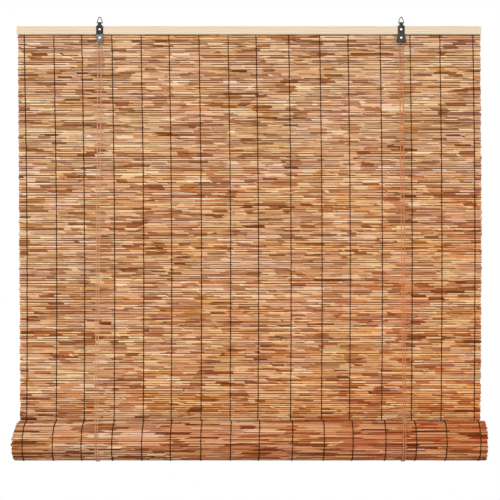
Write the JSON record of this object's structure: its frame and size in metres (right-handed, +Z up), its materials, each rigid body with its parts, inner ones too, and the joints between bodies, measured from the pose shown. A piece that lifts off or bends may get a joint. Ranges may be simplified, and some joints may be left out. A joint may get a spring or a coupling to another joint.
{
  "type": "roll-up reed blind",
  "caption": "Roll-up reed blind: planed headrail, reed mat on dark warp threads, roll at the foot, hanger plates with wire rings, pulleys and lift cords.",
  "frame": {"origin": "on the line where the hooks bear under the rings' wire, at the middle of the mat's width", "axes": "+X along the headrail, to the right as seen from the room, +Y towards the window, +Z up"},
  "size_m": [1.004, 0.0915, 0.9576],
  "materials": {
    "planed_pine": "planed, unvarnished",
    "reed": "dried reed, streaked",
    "warp_thread": "twisted dark thread",
    "black_plate": "gloss black",
    "bright_steel": "bright zinc",
    "staple_wire": "galvanised",
    "ring_wire": "plated wire",
    "wheel_nylon": "moulded nylon",
    "lift_cord": "braided cord"
  },
  "bodies": {
    "headrail": {"headrail": "planed_pine", "hanger_plate_left": "black_plate", "hanger_plate_right": "black_plate", "hanger_screws": "bright_steel", "pulley_axles": "bright_steel", "reed_mat": "reed", "mat_threads": "warp_thread", "mat_staples": "staple_wire", "cord_staples": "staple_wire", "cord_knots": "lift_cord", "cord_wraps": "lift_cord", "cord_front_left": "lift_cord", "cord_front_right": "lift_cord", "cord_back_left": "lift_cord", "cord_back_right": "lift_cord"},
    "ring_left": {"hanging_ring_left": "ring_wire"},
    "ring_right": {"hanging_ring_right": "ring_wire"},
    "pulley_left": {"pulley_wheel_left": "wheel_nylon"},
    "pulley_right": {"pulley_wheel_right": "wheel_nylon"},
    "slings": {"cord_slings": "lift_cord"},
    "roll": {"mat_roll": "reed", "roll_threads": "warp_thread", "bottom_batten": "planed_pine"}
  },
  "joints": [
    {"name": "ring_left_swing", "type": "hinge", "parent": "headrail", "child": "ring_left", "pos_m": [-0.3225, 0, -0.0121], "axis": [1, 0, 0], "range_deg": [-120, 132]},
    {"name": "pulley_left_spin", "type": "hinge", "parent": "headrail", "child": "pulley_left", "pos_m": [-0.3225, 0.0014, -0.0439], "axis": [0, 1, 0], "continuous": true},
    {"name": "ring_right_swing", "type": "hinge", "parent": "headrail", "child": "ring_right", "pos_m": [0.3292, 0, -0.0121], "axis": [1, 0, 0], "range_deg": [-120, 132]},
    {"name": "pulley_right_spin", "type": "hinge", "parent": "headrail", "child": "pulley_right", "pos_m": [0.3292, 0.0014, -0.0439], "axis": [0, 1, 0], "continuous": true},
    {"name": "roll_lift", "type": "slide", "parent": "headrail", "child": "slings", "axis": [0, 0, 1], "range_m": [0, 0.75115], "deforming": ["reed_mat", "mat_threads", "cord_front_left", "cord_front_right", "cord_back_left", "cord_back_right"]},
    {"name": "roll_turn", "type": "hinge", "parent": "slings", "child": "roll", "pos_m": [0, -0.0295, -0.911], "axis": [1, 0, 0], "range_deg": [-1080.01, 0.01]}
  ],
  "couplings": [
    {"joint": "roll_turn", "follows": "roll_lift", "rad_per_m": -25.094},
    {"joint": "pulley_left_spin", "follows": "roll_lift", "rad_per_m": 547.95},
    {"joint": "pulley_right_spin", "follows": "roll_lift", "rad_per_m": -547.95}
  ]
}
